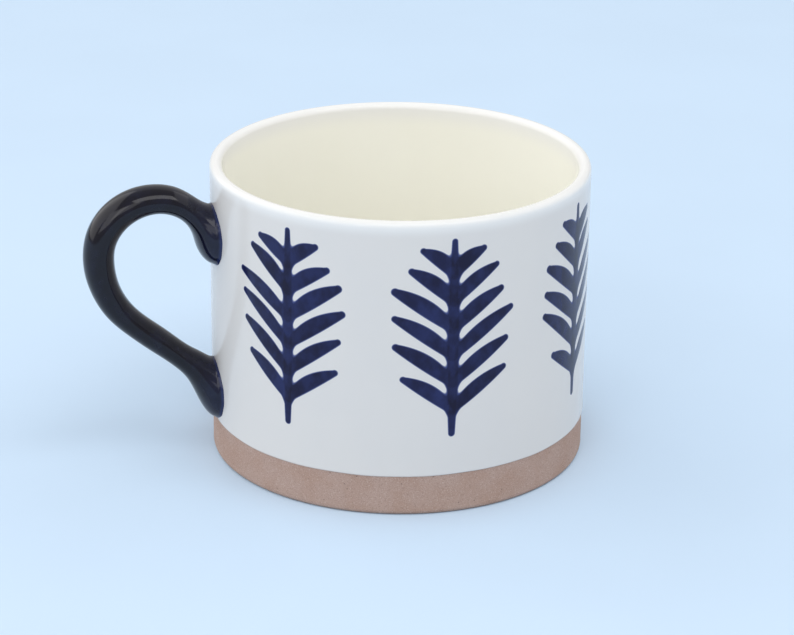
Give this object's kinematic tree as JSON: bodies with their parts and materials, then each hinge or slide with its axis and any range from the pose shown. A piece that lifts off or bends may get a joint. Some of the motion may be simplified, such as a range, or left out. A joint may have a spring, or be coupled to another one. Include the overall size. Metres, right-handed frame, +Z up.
{
  "type": "stoneware mug",
  "caption": "Straight-sided stoneware mug with a white glaze over a bare clay foot band, navy painted sprigs and a looped navy handle with tongue joints.",
  "frame": {"origin": "on the cup's axis, in the plane of the foot ring that it stands on", "axes": "+Z up along the cup's axis; the handle points along -X, with its centreline in the XZ plane"},
  "size_m": [0.1273, 0.095, 0.0755],
  "materials": {
    "stoneware_clay": "matt, sandy, unglazed",
    "joining_slip": "matt",
    "white_glaze": "gloss",
    "cream_glaze": "gloss",
    "navy_glaze": "high gloss"
  },
  "bodies": {
    "root": {"clay_body": "stoneware_clay", "handle": "stoneware_clay", "upper_joint_slip": "joining_slip", "lower_joint_slip": "joining_slip", "outer_glaze": "white_glaze", "liner_glaze": "cream_glaze", "handle_glaze": "navy_glaze"}
  },
  "joints": []
}
